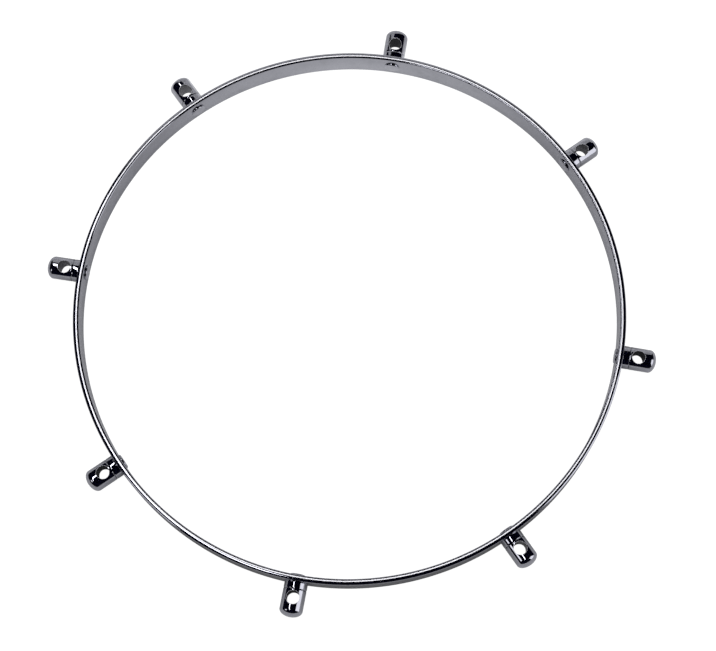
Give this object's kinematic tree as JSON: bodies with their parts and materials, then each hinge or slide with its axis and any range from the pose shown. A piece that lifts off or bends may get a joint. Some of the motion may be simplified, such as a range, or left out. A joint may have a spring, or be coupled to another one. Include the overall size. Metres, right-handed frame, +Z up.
{
  "type": "drum hoop",
  "caption": "Flat-bar drum hoop: a chromed steel ring with round cross-drilled posts standing out all round to take the tension rods, each held by a screw from inside.",
  "frame": {"origin": "on the hoop's own axis, in the plane of the lower edge that the hoop rests on", "axes": "+Z up along the hoop's axis, +X to the right and +Y to the top of the picture as seen from above, with the butt weld at 167.3 degrees clockwise from +X"},
  "size_m": [0.4048, 0.4044, 0.02],
  "materials": {
    "band_chrome": "bright chrome plate, with the fine grain of the bar showing on the inner wall",
    "lug_chrome": "bright chrome plate on turned steel",
    "screw_chrome": "plated screw with a plain low head, slightly duller than the posts"
  },
  "bodies": {
    "root": {"hoop_band": "band_chrome", "collar_1": "lug_chrome", "collar_2": "lug_chrome", "collar_3": "lug_chrome", "collar_4": "lug_chrome", "collar_5": "lug_chrome", "collar_6": "lug_chrome", "collar_7": "lug_chrome", "collar_8": "lug_chrome", "post_1": "lug_chrome", "post_2": "lug_chrome", "post_3": "lug_chrome", "post_4": "lug_chrome", "post_5": "lug_chrome", "post_6": "lug_chrome", "post_7": "lug_chrome", "post_8": "lug_chrome", "screw_1": "screw_chrome", "screw_2": "screw_chrome", "screw_3": "screw_chrome", "screw_4": "screw_chrome", "screw_5": "screw_chrome", "screw_6": "screw_chrome", "screw_7": "screw_chrome", "screw_8": "screw_chrome"}
  },
  "joints": []
}
